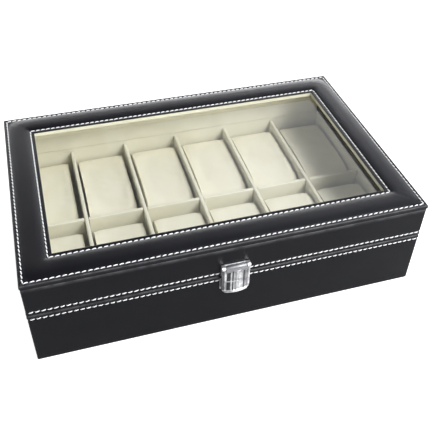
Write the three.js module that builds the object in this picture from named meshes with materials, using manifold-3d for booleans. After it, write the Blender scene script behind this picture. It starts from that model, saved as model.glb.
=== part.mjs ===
// A glazed twelve-place watch box: leather-covered base and lid, suede-lined tray with dividers and
// pillows, two back hinges and a chrome flap latch. Millimetres, +X right, +Y back, +Z up.
// The origin is on the underside, at the centre of the box body.
import * as THREE from "three";
import { mergeVertices } from "three/addons/utils/BufferGeometryUtils.js";
import Module from "manifold-3d";

const wasm = await Module();
wasm.setup();

// ---- Driving dimensions ----

// Whole box
const PANEL_HALF_X = 150; // the lid's top panel, half its width
const PANEL_HALF_Y = 97.5; // and half its depth
const PANEL_OVERHANG = 0.4; // how far the panel stands out past the walls
const HEIGHT = 80; // to the panel's stitch lines
const PARTING_Z = 49.3; // where base and lid meet
const PARTING_GAP = 0.4;
const CORNER_RADIUS = 1.3;
const GAP = 0.3; // between pieces that lie against each other

// Board, leather and lining thicknesses
const LEATHER = 0.6;
const WALL = 2.4;
const CARD = 0.9;
const LINING = 0.4;
const FELT = 0.8;

// Base and tray
const UNDERSIDE_LEATHER_Z = 0.2;
const UNDERSIDE_MARGIN = 10; // leather turned in under the base
const BOTTOM_BOARD = 2.5;
const TRAY_FLOOR = 1;
const TRAY_TOP_Z = 43;
const DIVIDER_TOP_Z = 40;
const DIVIDER = 3;
const COLUMNS = 6;

// Pillows: a superellipse in side view, drawn out across the place
const PILLOW_WIDTH = 41;
const PILLOW_LENGTH = 84;
const PILLOW_HEIGHT = 30;
const PILLOW_SQUARENESS = 3.2;
const PILLOW_FACETS = 28;
const PILLOW_Y = 47.2; // centre of the back row; the front row mirrors it
const PILLOW_SHIFTS_BACK = [-1.6, -0.6, 0.4, 0.2, 0.4, 1.6]; // each lies a little off its place's centre
const PILLOW_SHIFTS_FRONT = [-1.2, -0.4, 0.6, 0, 0.8, 1.2];

// Lid window
const BORDER_X = 24; // leather border, from the panel's edge to the window, at the sides
const BORDER_Y = 25.1; // and at the front and back
const PANEL_BOTTOM_Z = 76.5;
const TOP_FRAME_Z = [76.3, 79.1];
const PADDING_RISE = 1.3; // the border's crown above its stitch lines
const GLASS_Z = [73.5, 75.8];
const GLASS_LAP = { x: 7.8, y: 11.2 }; // glass held behind the window's edge
const RETAINER_SETBACK = { x: 4.2, y: 7.6 }; // keeps the frame below the glass out of sight
const RETAINER_Z = 71.4;
const RETAINER_LIP = 1.8;

// Back hinges
const HINGE_X = 92;
const HINGE_WIDTH = 18;
const HINGE_LEAF = 0.8;
const HINGE_LEAF_HEIGHT = 10.5;
const KNUCKLE_RADIUS = 1.7;
const KNUCKLE_HALF = 2.9; // half the lid leaf's middle knuckle
const PIN_RADIUS = 0.7;
const SCREW_X = 5.6;
const SCREW_DROP = 6.6; // from the hinge axis to a screw's centre
const SCREW_HEAD_RADIUS = 1.7;
const SCREW_HEAD = 0.6;
const SCREW_SHANK_RADIUS = 0.8;

// Front latch
const LATCH_X = -1.9; // it sits a little left of the middle
const LATCH_HALF = 10.8;
const LATCH_SHEET = 0.8;
const LATCH_PLATE_Z = [50.2, 61.2];
const LATCH_AXIS_Y = -99.9;
const LATCH_AXIS_Z = 59.4;
const LATCH_BARREL_RADIUS = 1.6;
const LATCH_BARREL_HALF = 7.8;
const LATCH_EAR_RADIUS = 1.8;
const FLAP_Z = [35.4, 57.2];
const FLAP_SKIN = 0.6;
const FLAP_RAIL = 0.6; // side rails and bottom lip stand this far out of the flap's skin
const FLAP_RAIL_WIDTH = 2.4;
const FLAP_LIP = 1.8;
const FLAP_FRONT_Y = -102.5;
const FLAP_BOW = 2.4; // how far the flap's middle stands out past its sides
const FLAP_CORNER = 4;
const CATCH_HALF = 11.4;
const CATCH_Z = [37, 48.7];
const CATCH_NIB = { halfWidth: 4, low: 41.5, high: 46, front: -100.4 };

const SIDES = 24; // facets of a round

// ---- Derived places ----

const bodyX = PANEL_HALF_X - PANEL_OVERHANG;
const bodyY = PANEL_HALF_Y - PANEL_OVERHANG;
const wallOut = LEATHER + GAP; // insets from the body's outer face
const wallIn = wallOut + WALL;
const liningOut = wallIn + GAP;
const trayIn = liningOut + CARD;
const baseRim = PARTING_Z - PARTING_GAP / 2;
const lidRim = PARTING_Z + PARTING_GAP / 2;
const bottomBoardZ = UNDERSIDE_LEATHER_Z + LEATHER + GAP;
const trayFloorZ = bottomBoardZ + BOTTOM_BOARD + GAP;
const placeFloorZ = trayFloorZ + TRAY_FLOOR + GAP;
const lidWallTop = TOP_FRAME_Z[0] - 0.5;
const windowX = PANEL_HALF_X - BORDER_X;
const windowY = PANEL_HALF_Y - BORDER_Y;
const columnPitch = (2 * (bodyX - trayIn)) / COLUMNS;
const hingeAxisY = bodyY + GAP + KNUCKLE_RADIUS;

// ---- Materials ----

const finish = (color, roughness, metalness) => new THREE.MeshStandardMaterial({ color, roughness, metalness });
const leather = finish(0x1b1b1f, 0.45, 0);
const board = finish(0x9b7a55, 0.9, 0);
const suede = finish(0xdcd7bf, 0.95, 0);
const felt = finish(0x151515, 1, 0);
const glass = finish(0xdfe6e4, 0.05, 0);
const chrome = finish(0xcfd2d6, 0.15, 1);

// ---- Geometry helpers ----

const root = new THREE.Group();

function add(name, geometry, material) {
  const mesh = new THREE.Mesh(geometry, material);
  mesh.name = name;
  root.add(mesh);
  return mesh;
}

function boxBetween(x, y, z) {
  const geometry = new THREE.BoxGeometry(x[1] - x[0], y[1] - y[0], z[1] - z[0]);
  return geometry.translate((x[0] + x[1]) / 2, (y[0] + y[1]) / 2, (z[0] + z[1]) / 2);
}

// A rod along X.
function rod(x, y, z, radius, sides = SIDES) {
  const geometry = new THREE.CylinderGeometry(radius, radius, x[1] - x[0], sides);
  return geometry.rotateZ(Math.PI / 2).translate((x[0] + x[1]) / 2, y, z);
}

// A solid drawn in the YZ plane as [y, z] points and pulled along X.
function pullAlongX(outline, x) {
  const shape = new THREE.Shape(outline.map(([y, z]) => new THREE.Vector2(y, z)));
  const geometry = new THREE.ExtrudeGeometry(shape, { depth: x[1] - x[0], bevelEnabled: false });
  return geometry.applyMatrix4(new THREE.Matrix4().set(0, 0, 1, x[0], 1, 0, 0, 0, 0, 1, 0, 0, 0, 0, 0, 1));
}

// A solid drawn in the XZ plane and pulled along Y.
function pullAlongY(shape, y) {
  const geometry = new THREE.ExtrudeGeometry(shape, { depth: y[1] - y[0], bevelEnabled: false, curveSegments: 8 });
  return geometry.applyMatrix4(new THREE.Matrix4().set(1, 0, 0, 0, 0, 0, -1, y[1], 0, 1, 0, 0, 0, 0, 0, 1));
}

// A solid drawn in the XY plane and pulled along Z.
function pullAlongZ(shape, z) {
  const geometry = new THREE.ExtrudeGeometry(shape, { depth: z[1] - z[0], bevelEnabled: false, curveSegments: 12 });
  return geometry.translate(0, 0, z[0]);
}

// A closed ring: a section of [halfX, halfY, z] points carried round a rounded rectangle. The section
// runs clockwise as seen with the outside of the box to the right.
function rectangularRing(section, cornerSteps = 3) {
  const positions = [];
  const around = 4 * (cornerSteps + 1);
  const outerX = Math.max(...section.map((p) => p[0]));
  for (const [halfX, halfY, z] of section) {
    const radius = Math.max(CORNER_RADIUS - (outerX - halfX), 0.3);
    for (let corner = 0; corner < 4; corner++) {
      const signX = corner === 0 || corner === 3 ? 1 : -1;
      const signY = corner < 2 ? 1 : -1;
      for (let step = 0; step <= cornerSteps; step++) {
        const angle = (corner + step / cornerSteps) * (Math.PI / 2);
        positions.push(
          signX * (halfX - radius) + radius * Math.cos(angle),
          signY * (halfY - radius) + radius * Math.sin(angle),
          z,
        );
      }
    }
  }
  const index = [];
  for (let i = 0; i < section.length; i++) {
    for (let j = 0; j < around; j++) {
      const a = i * around + j;
      const b = i * around + ((j + 1) % around);
      const c = ((i + 1) % section.length) * around + j;
      const d = ((i + 1) % section.length) * around + ((j + 1) % around);
      index.push(a, c, b, b, c, d);
    }
  }
  const geometry = new THREE.BufferGeometry();
  geometry.setAttribute("position", new THREE.Float32BufferAttribute(positions, 3));
  return geometry.setIndex(index);
}

// The same, for a section of [inset, z] points measured in from the box body's outer face.
function bodyRing(section) {
  return rectangularRing(section.map(([inset, z]) => [bodyX - inset, bodyY - inset, z]));
}

function toSolid(geometry) {
  const bare = new THREE.BufferGeometry();
  bare.setAttribute("position", geometry.getAttribute("position"));
  if (geometry.index) bare.setIndex(geometry.index);
  const merged = mergeVertices(bare, 1e-4);
  return new wasm.Manifold(
    new wasm.Mesh({
      numProp: 3,
      vertProperties: Float32Array.from(merged.getAttribute("position").array),
      triVerts: Uint32Array.from(merged.index.array),
    }),
  );
}

function toGeometry(solid) {
  const mesh = solid.getMesh();
  const geometry = new THREE.BufferGeometry();
  geometry.setAttribute("position", new THREE.BufferAttribute(Float32Array.from(mesh.vertProperties), 3));
  return geometry.setIndex(new THREE.BufferAttribute(Uint32Array.from(mesh.triVerts), 1));
}

const join = (...parts) => toGeometry(parts.map(toSolid).reduce((a, b) => a.add(b)));
const cut = (part, ...tools) => toGeometry(tools.map(toSolid).reduce((a, b) => a.subtract(b), toSolid(part)));
const common = (a, b) => toGeometry(toSolid(a).intersect(toSolid(b)));

// ---- Box walls, shared by base and lid ----

const hingeXs = [-HINGE_X, HINGE_X];
const screwXs = hingeXs.flatMap((x) => [x - SCREW_X, x + SCREW_X]);

// Holes for the hinge screws through the leather and the back board.
function screwHoles(z) {
  return screwXs.map((x) => {
    const hole = new THREE.CylinderGeometry(SCREW_SHANK_RADIUS + GAP, SCREW_SHANK_RADIUS + GAP, 12, 12);
    return hole.translate(x, bodyY, z);
  });
}

function addWalls(prefix, z, screwZ) {
  const longX = [-(bodyX - wallOut), bodyX - wallOut];
  const sideY = [-(bodyY - wallIn - GAP), bodyY - wallIn - GAP];
  const frontWall = boxBetween(longX, [-(bodyY - wallOut), -(bodyY - wallIn)], z);
  const backWall = boxBetween(longX, [bodyY - wallIn, bodyY - wallOut], z);
  add(prefix + "_front_wall", frontWall, board);
  add(prefix + "_back_wall", cut(backWall, ...screwHoles(screwZ)), board);
  add(prefix + "_left_wall", boxBetween([-(bodyX - wallOut), -(bodyX - wallIn)], sideY, z), board);
  add(prefix + "_right_wall", boxBetween([bodyX - wallIn, bodyX - wallOut], sideY, z), board);
}

// ---- Base ----

const baseScrewZ = PARTING_Z - SCREW_DROP;
const lidScrewZ = PARTING_Z + SCREW_DROP;

function addBase() {
  addWalls("base", [bottomBoardZ, baseRim - LEATHER - GAP], baseScrewZ);
  const insideX = bodyX - wallIn - GAP;
  const insideY = bodyY - wallIn - GAP;
  const bottom = boxBetween([-insideX, insideX], [-insideY, insideY], [bottomBoardZ, bottomBoardZ + BOTTOM_BOARD]);
  add("base_bottom_board", bottom, board);

  // Leather from the underside, up the outside, over the rim and down inside to the tray.
  const turnIn = liningOut + LEATHER;
  const wrap = bodyRing([
    [0, UNDERSIDE_LEATHER_Z],
    [UNDERSIDE_MARGIN, UNDERSIDE_LEATHER_Z],
    [UNDERSIDE_MARGIN, UNDERSIDE_LEATHER_Z + LEATHER],
    [LEATHER, UNDERSIDE_LEATHER_Z + LEATHER],
    [LEATHER, baseRim - LEATHER],
    [liningOut, baseRim - LEATHER],
    [liningOut, TRAY_TOP_Z + GAP],
    [turnIn, TRAY_TOP_Z + GAP],
    [turnIn, baseRim],
    [0, baseRim],
  ]);
  add("base_leather_wrap", cut(wrap, ...screwHoles(baseScrewZ)), leather);

  const padX = bodyX - UNDERSIDE_MARGIN - GAP;
  const padY = bodyY - UNDERSIDE_MARGIN - GAP;
  add("base_felt_pad", boxBetween([-padX, padX], [-padY, padY], [0, FELT]), felt);

  // Suede strip over the back joint.
  const stripY = [bodyY - trayIn - LINING, bodyY - trayIn];
  const stripX = bodyX - trayIn - GAP;
  add("back_lining_strip", boxBetween([-stripX, stripX], stripY, [TRAY_TOP_Z + GAP, baseRim]), suede);
}

// ---- Tray with its dividers ----

// An upright board with half-height slots, drawn lengthwise as [along, z] points.
function slottedOutline(half, slots, fromTop) {
  const middle = (placeFloorZ + DIVIDER_TOP_Z) / 2;
  const halfSlot = DIVIDER / 2 + GAP;
  const open = fromTop ? DIVIDER_TOP_Z : placeFloorZ;
  const end = middle + (fromTop ? -GAP / 2 : GAP / 2);
  const slotPoints = slots.flatMap((s) => [
    [s - halfSlot, open],
    [s - halfSlot, end],
    [s + halfSlot, end],
    [s + halfSlot, open],
  ]);
  const other = fromTop ? placeFloorZ : DIVIDER_TOP_Z;
  return [[-half, other], [-half, open], ...slotPoints, [half, open], [half, other]];
}

function addTray() {
  const inX = bodyX - trayIn;
  const inY = bodyY - trayIn;
  const outX = bodyX - liningOut;
  const outY = bodyY - liningOut;
  const z = [trayFloorZ, TRAY_TOP_Z];
  add("tray_front_wall", boxBetween([-outX, outX], [-outY, -inY], z), suede);
  add("tray_back_wall", boxBetween([-outX, outX], [inY, outY], z), suede);
  add("tray_left_wall", boxBetween([-outX, -inX], [-(inY - GAP), inY - GAP], z), suede);
  add("tray_right_wall", boxBetween([inX, outX], [-(inY - GAP), inY - GAP], z), suede);
  const floorX = inX - GAP;
  const floorY = inY - GAP;
  const floorZ = [trayFloorZ, trayFloorZ + TRAY_FLOOR];
  add("tray_floor", boxBetween([-floorX, floorX], [-floorY, floorY], floorZ), suede);

  const crossXs = Array.from({ length: COLUMNS - 1 }, (_, i) => (i + 1 - COLUMNS / 2) * columnPitch);
  const longOutline = slottedOutline(floorX, crossXs, true);
  const long = new THREE.Shape(longOutline.map(([x, z]) => new THREE.Vector2(x, z)));
  add("long_divider", pullAlongY(long, [-DIVIDER / 2, DIVIDER / 2]), suede);
  crossXs.forEach((x, i) => {
    const outline = slottedOutline(floorY, [0], false);
    add("cross_divider_" + (i + 1), pullAlongX(outline, [x - DIVIDER / 2, x + DIVIDER / 2]), suede);
  });
}

// ---- Pillows ----

function pillowOutline() {
  const power = (value) => Math.sign(value) * Math.abs(value) ** (2 / PILLOW_SQUARENESS);
  return Array.from({ length: PILLOW_FACETS }, (_, i) => {
    const angle = (2 * Math.PI * i) / PILLOW_FACETS;
    return [(PILLOW_LENGTH / 2) * power(Math.cos(angle)), (PILLOW_HEIGHT / 2) * power(Math.sin(angle))];
  });
}

function addPillows() {
  const outline = pillowOutline();
  const centreZ = placeFloorZ + PILLOW_HEIGHT / 2;
  [PILLOW_SHIFTS_BACK, PILLOW_SHIFTS_FRONT].forEach((shifts, row) => {
    shifts.forEach((shift, column) => {
      const pillow = pullAlongX(outline, [-PILLOW_WIDTH / 2, PILLOW_WIDTH / 2]);
      const number = String(row * COLUMNS + column + 1).padStart(2, "0");
      const mesh = add("pillow_" + number, pillow, suede);
      const x = (column + 0.5 - COLUMNS / 2) * columnPitch + shift;
      mesh.position.set(x, row === 0 ? PILLOW_Y : -PILLOW_Y, centreZ);
    });
  });
}

// ---- Lid ----

function addLidBody() {
  addWalls("lid", [lidRim + LEATHER + GAP, lidWallTop], lidScrewZ);
  const wrap = bodyRing([
    [0, lidRim],
    [wallIn, lidRim],
    [wallIn, lidRim + LEATHER],
    [LEATHER, lidRim + LEATHER],
    [LEATHER, lidWallTop],
    [0, lidWallTop],
  ]);
  add("lid_leather_wrap", cut(wrap, ...screwHoles(lidScrewZ)), leather);
  const lining = bodyRing([
    [liningOut, lidRim],
    [liningOut + LINING, lidRim],
    [liningOut + LINING, lidWallTop],
    [liningOut, lidWallTop],
  ]);
  add("lid_lining", lining, suede);
}

// A ring section's point at a share of the way from the panel's edge (0) to the window's edge (1).
const borderPoint = (share, z) => [PANEL_HALF_X - BORDER_X * share, PANEL_HALF_Y - BORDER_Y * share, z];

function addLidTop() {
  const [frameLow, frameHigh] = TOP_FRAME_Z;
  const frameOut = LEATHER + GAP;
  const opening = 2 * GAP + LINING - 0.2; // the board's opening is this much larger than the window
  const frame = rectangularRing([
    [PANEL_HALF_X - frameOut, PANEL_HALF_Y - frameOut, frameLow],
    [windowX + opening, windowY + opening, frameLow],
    [windowX + opening, windowY + opening, frameHigh],
    [PANEL_HALF_X - frameOut, PANEL_HALF_Y - frameOut, frameHigh],
  ]);
  add("lid_top_frame", frame, board);

  // Padded leather: over the panel's edge, down at the outer stitches, a crown, down at the inner ones.
  const under = frameHigh + GAP;
  const skin = LEATHER / BORDER_X;
  const cover = rectangularRing([
    borderPoint(0, PANEL_BOTTOM_Z),
    borderPoint(skin, PANEL_BOTTOM_Z),
    borderPoint(skin, under),
    borderPoint(1, under),
    borderPoint(1, HEIGHT - 0.3),
    borderPoint(0.93, HEIGHT + 0.1),
    borderPoint(0.87, HEIGHT),
    borderPoint(0.74, HEIGHT + 0.75 * PADDING_RISE),
    borderPoint(0.5, HEIGHT + PADDING_RISE),
    borderPoint(0.26, HEIGHT + 0.75 * PADDING_RISE),
    borderPoint(0.13, HEIGHT),
    borderPoint(0.05, HEIGHT + 0.1),
    borderPoint(0.01, HEIGHT - 0.4),
    borderPoint(0, HEIGHT - 1),
  ]);
  add("lid_top_leather", cover, leather);

  const revealOut = 0.1 + LINING;
  const reveal = rectangularRing([
    [windowX + revealOut, windowY + revealOut, GLASS_Z[1] + GAP],
    [windowX + 0.1, windowY + 0.1, GLASS_Z[1] + GAP],
    [windowX + 0.1, windowY + 0.1, frameHigh],
    [windowX + revealOut, windowY + revealOut, frameHigh],
  ]);
  add("window_reveal_lining", reveal, suede);

  const glassX = windowX + GLASS_LAP.x;
  const glassY = windowY + GLASS_LAP.y;
  add("glass_pane", boxBetween([-glassX, glassX], [-glassY, glassY], GLASS_Z), glass);

  // The retaining frame is rebated to hold the glass from below.
  const outX = bodyX - liningOut - LINING - GAP;
  const outY = bodyY - liningOut - LINING - GAP;
  const shelf = GLASS_Z[0] - GAP;
  const inX = windowX + RETAINER_SETBACK.x;
  const inY = windowY + RETAINER_SETBACK.y;
  const retainer = rectangularRing([
    [outX, outY, RETAINER_Z],
    [inX, inY, RETAINER_Z],
    [inX, inY, shelf],
    [glassX + GAP, glassY + GAP, shelf],
    [glassX + GAP, glassY + GAP, shelf + RETAINER_LIP],
    [outX, outY, shelf + RETAINER_LIP],
  ]);
  add("glass_retaining_frame", retainer, suede);
}

// ---- Hinges ----

function screwGeometry() {
  const dome = Array.from({ length: 5 }, (_, i) => {
    const angle = (Math.PI / 2) * (i / 4);
    return new THREE.Vector2(SCREW_HEAD_RADIUS * Math.cos(angle), SCREW_HEAD * Math.sin(angle));
  });
  dome[4].x = 0;
  const tip = -(HINGE_LEAF + GAP + LEATHER + GAP + 0.7 * WALL);
  const shank = [new THREE.Vector2(0, tip), new THREE.Vector2(SCREW_SHANK_RADIUS, tip)];
  return new THREE.LatheGeometry([...shank, new THREE.Vector2(SCREW_SHANK_RADIUS, 0), ...dome], 16);
}

function addHinge(x, side) {
  const left = x - HINGE_WIDTH / 2;
  const right = x + HINGE_WIDTH / 2;
  const leafY = [bodyY + GAP, bodyY + GAP + HINGE_LEAF];
  const bore = rod([left - 1, right + 1], hingeAxisY, PARTING_Z, PIN_RADIUS + GAP);
  const clear = KNUCKLE_RADIUS + GAP;
  const end = KNUCKLE_HALF + GAP;

  const basePlate = boxBetween([left, right], leafY, [PARTING_Z - HINGE_LEAF_HEIGHT, PARTING_Z]);
  const notch = boxBetween([x - end, x + end], [leafY[0] - 1, leafY[1] + 1], [PARTING_Z - clear, PARTING_Z + 1]);
  const baseLeaf = join(
    cut(basePlate, notch),
    rod([left, x - end], hingeAxisY, PARTING_Z, KNUCKLE_RADIUS),
    rod([x + end, right], hingeAxisY, PARTING_Z, KNUCKLE_RADIUS),
  );
  add("hinge_base_leaf_" + side, cut(baseLeaf, bore, ...screwHoles(baseScrewZ)), chrome);

  const lidPlate = boxBetween([left, right], leafY, [PARTING_Z + clear, PARTING_Z + HINGE_LEAF_HEIGHT]);
  const lidTongue = boxBetween([x - KNUCKLE_HALF, x + KNUCKLE_HALF], leafY, [PARTING_Z, PARTING_Z + clear + 1]);
  const knuckle = rod([x - KNUCKLE_HALF, x + KNUCKLE_HALF], hingeAxisY, PARTING_Z, KNUCKLE_RADIUS);
  const lidLeaf = join(lidPlate, lidTongue, knuckle);
  add("hinge_lid_leaf_" + side, cut(lidLeaf, bore, ...screwHoles(lidScrewZ)), chrome);
  add("hinge_pin_" + side, rod([left + 0.2, right - 0.2], hingeAxisY, PARTING_Z, PIN_RADIUS, 16), chrome);
}

function addHinges() {
  addHinge(-HINGE_X, "left");
  addHinge(HINGE_X, "right");
  const headY = bodyY + GAP + HINGE_LEAF + 0.1;
  screwXs.forEach((x, i) => {
    add("base_hinge_screw_" + (i + 1), screwGeometry(), chrome).position.set(x, headY, baseScrewZ);
    add("lid_hinge_screw_" + (i + 1), screwGeometry(), chrome).position.set(x, headY, lidScrewZ);
  });
}

// ---- Latch ----

const plateY = [-(bodyY + GAP + LATCH_SHEET), -(bodyY + GAP)];

// The latch's pieces are drawn about X = 0 and moved to their place here.
function addLatchPiece(name, geometry) {
  geometry.translate(LATCH_X, 0, 0);
  add(name, geometry, chrome);
}

// Lid plate with two forward ears that carry the pin.
function addLatchPlate() {
  const plate = boxBetween([-LATCH_HALF, LATCH_HALF], plateY, LATCH_PLATE_Z);
  const earInner = LATCH_BARREL_HALF + GAP;
  const ears = [
    [-LATCH_HALF, -earInner],
    [earInner, LATCH_HALF],
  ].flatMap((x) => [
    rod(x, LATCH_AXIS_Y, LATCH_AXIS_Z, LATCH_EAR_RADIUS),
    boxBetween(x, [LATCH_AXIS_Y, plateY[1]], [LATCH_AXIS_Z - LATCH_EAR_RADIUS, LATCH_AXIS_Z + LATCH_EAR_RADIUS]),
  ]);
  const bore = rod([-20, 20], LATCH_AXIS_Y, LATCH_AXIS_Z, PIN_RADIUS + GAP);
  addLatchPiece("latch_plate", cut(join(plate, ...ears), bore));
}

// A crescent in plan between two radii about the flap's centre of curvature, between two X values.
function bowedBand(centreY, inner, outer, xLow, xHigh) {
  const shape = new THREE.Shape();
  const angle = (radius, x) => -Math.PI / 2 + Math.asin(x / radius);
  shape.absarc(0, centreY, outer, angle(outer, xLow), angle(outer, xHigh), false);
  shape.absarc(0, centreY, inner, angle(inner, xHigh), angle(inner, xLow), true);
  return shape;
}

function addLatchFlap() {
  const radius = (LATCH_HALF ** 2 + FLAP_BOW ** 2) / (2 * FLAP_BOW);
  const centreY = FLAP_FRONT_Y + radius;
  const skinOut = radius - FLAP_RAIL;
  const skinIn = skinOut - FLAP_SKIN;
  const railInner = LATCH_HALF - FLAP_RAIL_WIDTH;
  const skin = pullAlongZ(bowedBand(centreY, skinIn, skinOut, -LATCH_HALF, LATCH_HALF), FLAP_Z);
  const left = pullAlongZ(bowedBand(centreY, skinIn, radius, -LATCH_HALF, -railInner), FLAP_Z);
  const right = pullAlongZ(bowedBand(centreY, skinIn, radius, railInner, LATCH_HALF), FLAP_Z);
  const lipZ = [FLAP_Z[0], FLAP_Z[0] + FLAP_LIP];
  const lip = pullAlongZ(bowedBand(centreY, skinIn, radius + FLAP_RAIL, -LATCH_HALF, LATCH_HALF), lipZ);
  const front = join(skin, left, right, lip);

  // The lower corners are rounded off in front view.
  const outline = new THREE.Shape();
  outline.moveTo(-LATCH_HALF, FLAP_Z[1] + 1);
  outline.lineTo(-LATCH_HALF, FLAP_Z[0] + FLAP_CORNER);
  outline.quadraticCurveTo(-LATCH_HALF, FLAP_Z[0], -LATCH_HALF + 1.5 * FLAP_CORNER, FLAP_Z[0]);
  outline.lineTo(LATCH_HALF - 1.5 * FLAP_CORNER, FLAP_Z[0]);
  outline.quadraticCurveTo(LATCH_HALF, FLAP_Z[0], LATCH_HALF, FLAP_Z[0] + FLAP_CORNER);
  outline.lineTo(LATCH_HALF, FLAP_Z[1] + 1);
  const trimmed = common(front, pullAlongY(outline, [FLAP_FRONT_Y - 5, plateY[0]]));

  const half = LATCH_BARREL_HALF;
  const barrel = rod([-half, half], LATCH_AXIS_Y, LATCH_AXIS_Z, LATCH_BARREL_RADIUS);
  const neck = boxBetween([-half, half], [FLAP_FRONT_Y + 1.4, LATCH_AXIS_Y + 0.8], [FLAP_Z[1] - 0.6, FLAP_Z[1] + 1.1]);
  const bore = rod([-20, 20], LATCH_AXIS_Y, LATCH_AXIS_Z, PIN_RADIUS + GAP);
  addLatchPiece("latch_flap", cut(join(trimmed, neck, barrel), bore));
  const pinEnd = LATCH_HALF - 0.2;
  addLatchPiece("latch_pin", rod([-pinEnd, pinEnd], LATCH_AXIS_Y, LATCH_AXIS_Z, PIN_RADIUS, 16));
}

// Base plate with the rounded nib that the flap springs over.
function addCatch() {
  const plate = boxBetween([-CATCH_HALF, CATCH_HALF], plateY, CATCH_Z);
  const { halfWidth, low, high, front } = CATCH_NIB;
  const nib = pullAlongX(
    [
      [plateY[1], low],
      [plateY[1], high],
      [plateY[0] - 1, high],
      [front, (low + 2 * high) / 3],
      [front, (2 * low + high) / 3],
      [plateY[0] - 1, low],
    ],
    [-halfWidth, halfWidth],
  );
  addLatchPiece("catch_plate", join(plate, nib));
}

addBase();
addTray();
addPillows();
addLidBody();
addLidTop();
addHinges();
addLatchPlate();
addLatchFlap();
addCatch();

export default root;
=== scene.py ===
# %% [markdown]
# # A glazed watch box, finished in Blender
#
# The box is a board carcass covered in black leather-look cloth with white stitching. Its lid holds a
# pane of glass, and its tray has twelve places, each with a soft cream pillow. The solid model gives
# every size and every moving body. This file dresses it: leather with seams, suede linings, stuffed
# pillows and a chrome latch. Each step first says what the real piece is, then makes it.

import bmesh
import bpy
import numpy as np
from mathutils import Matrix, Vector


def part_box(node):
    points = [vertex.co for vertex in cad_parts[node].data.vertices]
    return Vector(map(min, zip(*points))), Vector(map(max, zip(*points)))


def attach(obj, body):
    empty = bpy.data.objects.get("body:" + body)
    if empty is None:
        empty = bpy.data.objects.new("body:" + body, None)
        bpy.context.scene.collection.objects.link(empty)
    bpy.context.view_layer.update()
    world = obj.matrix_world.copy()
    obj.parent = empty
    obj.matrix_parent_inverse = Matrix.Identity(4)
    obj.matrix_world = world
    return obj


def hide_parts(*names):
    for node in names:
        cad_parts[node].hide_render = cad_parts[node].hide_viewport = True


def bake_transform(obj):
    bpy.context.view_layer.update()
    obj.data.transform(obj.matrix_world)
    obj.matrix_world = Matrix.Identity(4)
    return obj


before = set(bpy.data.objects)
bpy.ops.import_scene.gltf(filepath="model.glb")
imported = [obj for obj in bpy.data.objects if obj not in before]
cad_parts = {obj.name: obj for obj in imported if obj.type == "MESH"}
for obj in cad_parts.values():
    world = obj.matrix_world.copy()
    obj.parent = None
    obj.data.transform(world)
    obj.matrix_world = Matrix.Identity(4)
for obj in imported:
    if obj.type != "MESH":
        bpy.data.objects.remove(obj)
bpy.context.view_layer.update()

MM = 0.001
scene = bpy.context.scene
scene.view_settings.view_transform = "Standard"

# %% [markdown]
# ## Camera
#
# The camera stands in front of the box, a little to its left and well above it, and is turned very
# slightly about its own axis. A sight line is easiest to keep as two angles and a distance from a
# point in the middle of the box, so the place and the turning are worked out from those. The small
# vertical shift keeps the box in the middle of a level frame without tilting the camera.

# %% Camera
AIM = Vector((0.0, 0.0, 0.040))
AZIMUTH, ELEVATION, ROLL = np.radians([-17.74, 40.46, 1.65])
DISTANCE = 0.551
SLIDE = (0.01415, 0.00804)  # sideways and up, in the picture's own plane
LENS = 53.78
SHIFT_Y = -0.0688


def place_camera():
    """Back points from the box to the lens; right is level; both are then rolled about back."""
    back = Vector((
        np.sin(AZIMUTH) * np.cos(ELEVATION),
        -np.cos(AZIMUTH) * np.cos(ELEVATION),
        np.sin(ELEVATION),
    ))
    level = Vector((np.cos(AZIMUTH), np.sin(AZIMUTH), 0.0))
    right = float(np.cos(ROLL)) * level + float(np.sin(ROLL)) * back.cross(level)
    up = back.cross(right)
    data = bpy.data.cameras.new("camera")
    data.sensor_width = 36.0
    data.lens = LENS
    data.shift_y = SHIFT_Y
    camera = bpy.data.objects.new("camera", data)
    scene.collection.objects.link(camera)
    place = AIM + DISTANCE * back + SLIDE[0] * right + SLIDE[1] * up
    turn = Matrix((right, up, back)).transposed().to_4x4()
    camera.matrix_world = Matrix.Translation(place) @ turn
    scene.camera = camera
    return camera


print("camera stands at", [round(v, 3) for v in place_camera().matrix_world.translation])

# %% [markdown]
# ## Studio
#
# The box stands on a pale table that looks lit from underneath, so its shadow stays faint. The glow
# is for the eye only, and lights nothing, so it doesn't wash the black leather out. The main lamp is
# a softbox high on the right and slightly in front. It shines in through the window, and the right
# side of the lid keeps its light off the last places of the tray. The room is brighter near the
# horizon and to the right, and dark overhead, so leather that leans away gleams and flat leather
# stays deep.

# %% Floor, room light and lamps
FLOOR_SIZE = 8.0
FLOOR_GLOW = 0.92
ROOM_HORIZON = (0.70, 0.70, 0.72, 1.0)
ROOM_OVERHEAD = (0.24, 0.25, 0.28, 1.0)
ROOM_STRENGTH = 0.95
SIDE_FROM, SIDE_TO, SIDE_GAIN = 0.08, 0.36, 4.3  # the right side of the room is brighter
LAMPS = {  # name: place, width, height, watts
    "softbox": (Vector((0.49, -0.56, 0.85)), 0.50, 0.50, 11.2),
    "front_fill": (Vector((0.45, -1.25, 0.60)), 0.80, 0.40, 3.5),
    "back_strip": (Vector((0.05, 1.30, 0.28)), 2.20, 0.45, 16.0),
}


def add_node(tree, kind, inputs=None, **settings):
    """A node of that kind. Each input is a plain value or another node's output to link from."""
    node = tree.nodes.new(kind)
    for name, value in settings.items():
        setattr(node, name, value)
    for socket, value in (inputs or {}).items():
        if isinstance(value, bpy.types.NodeSocket):
            tree.links.new(value, node.inputs[socket])
        else:
            node.inputs[socket].default_value = value
    return node


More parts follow.
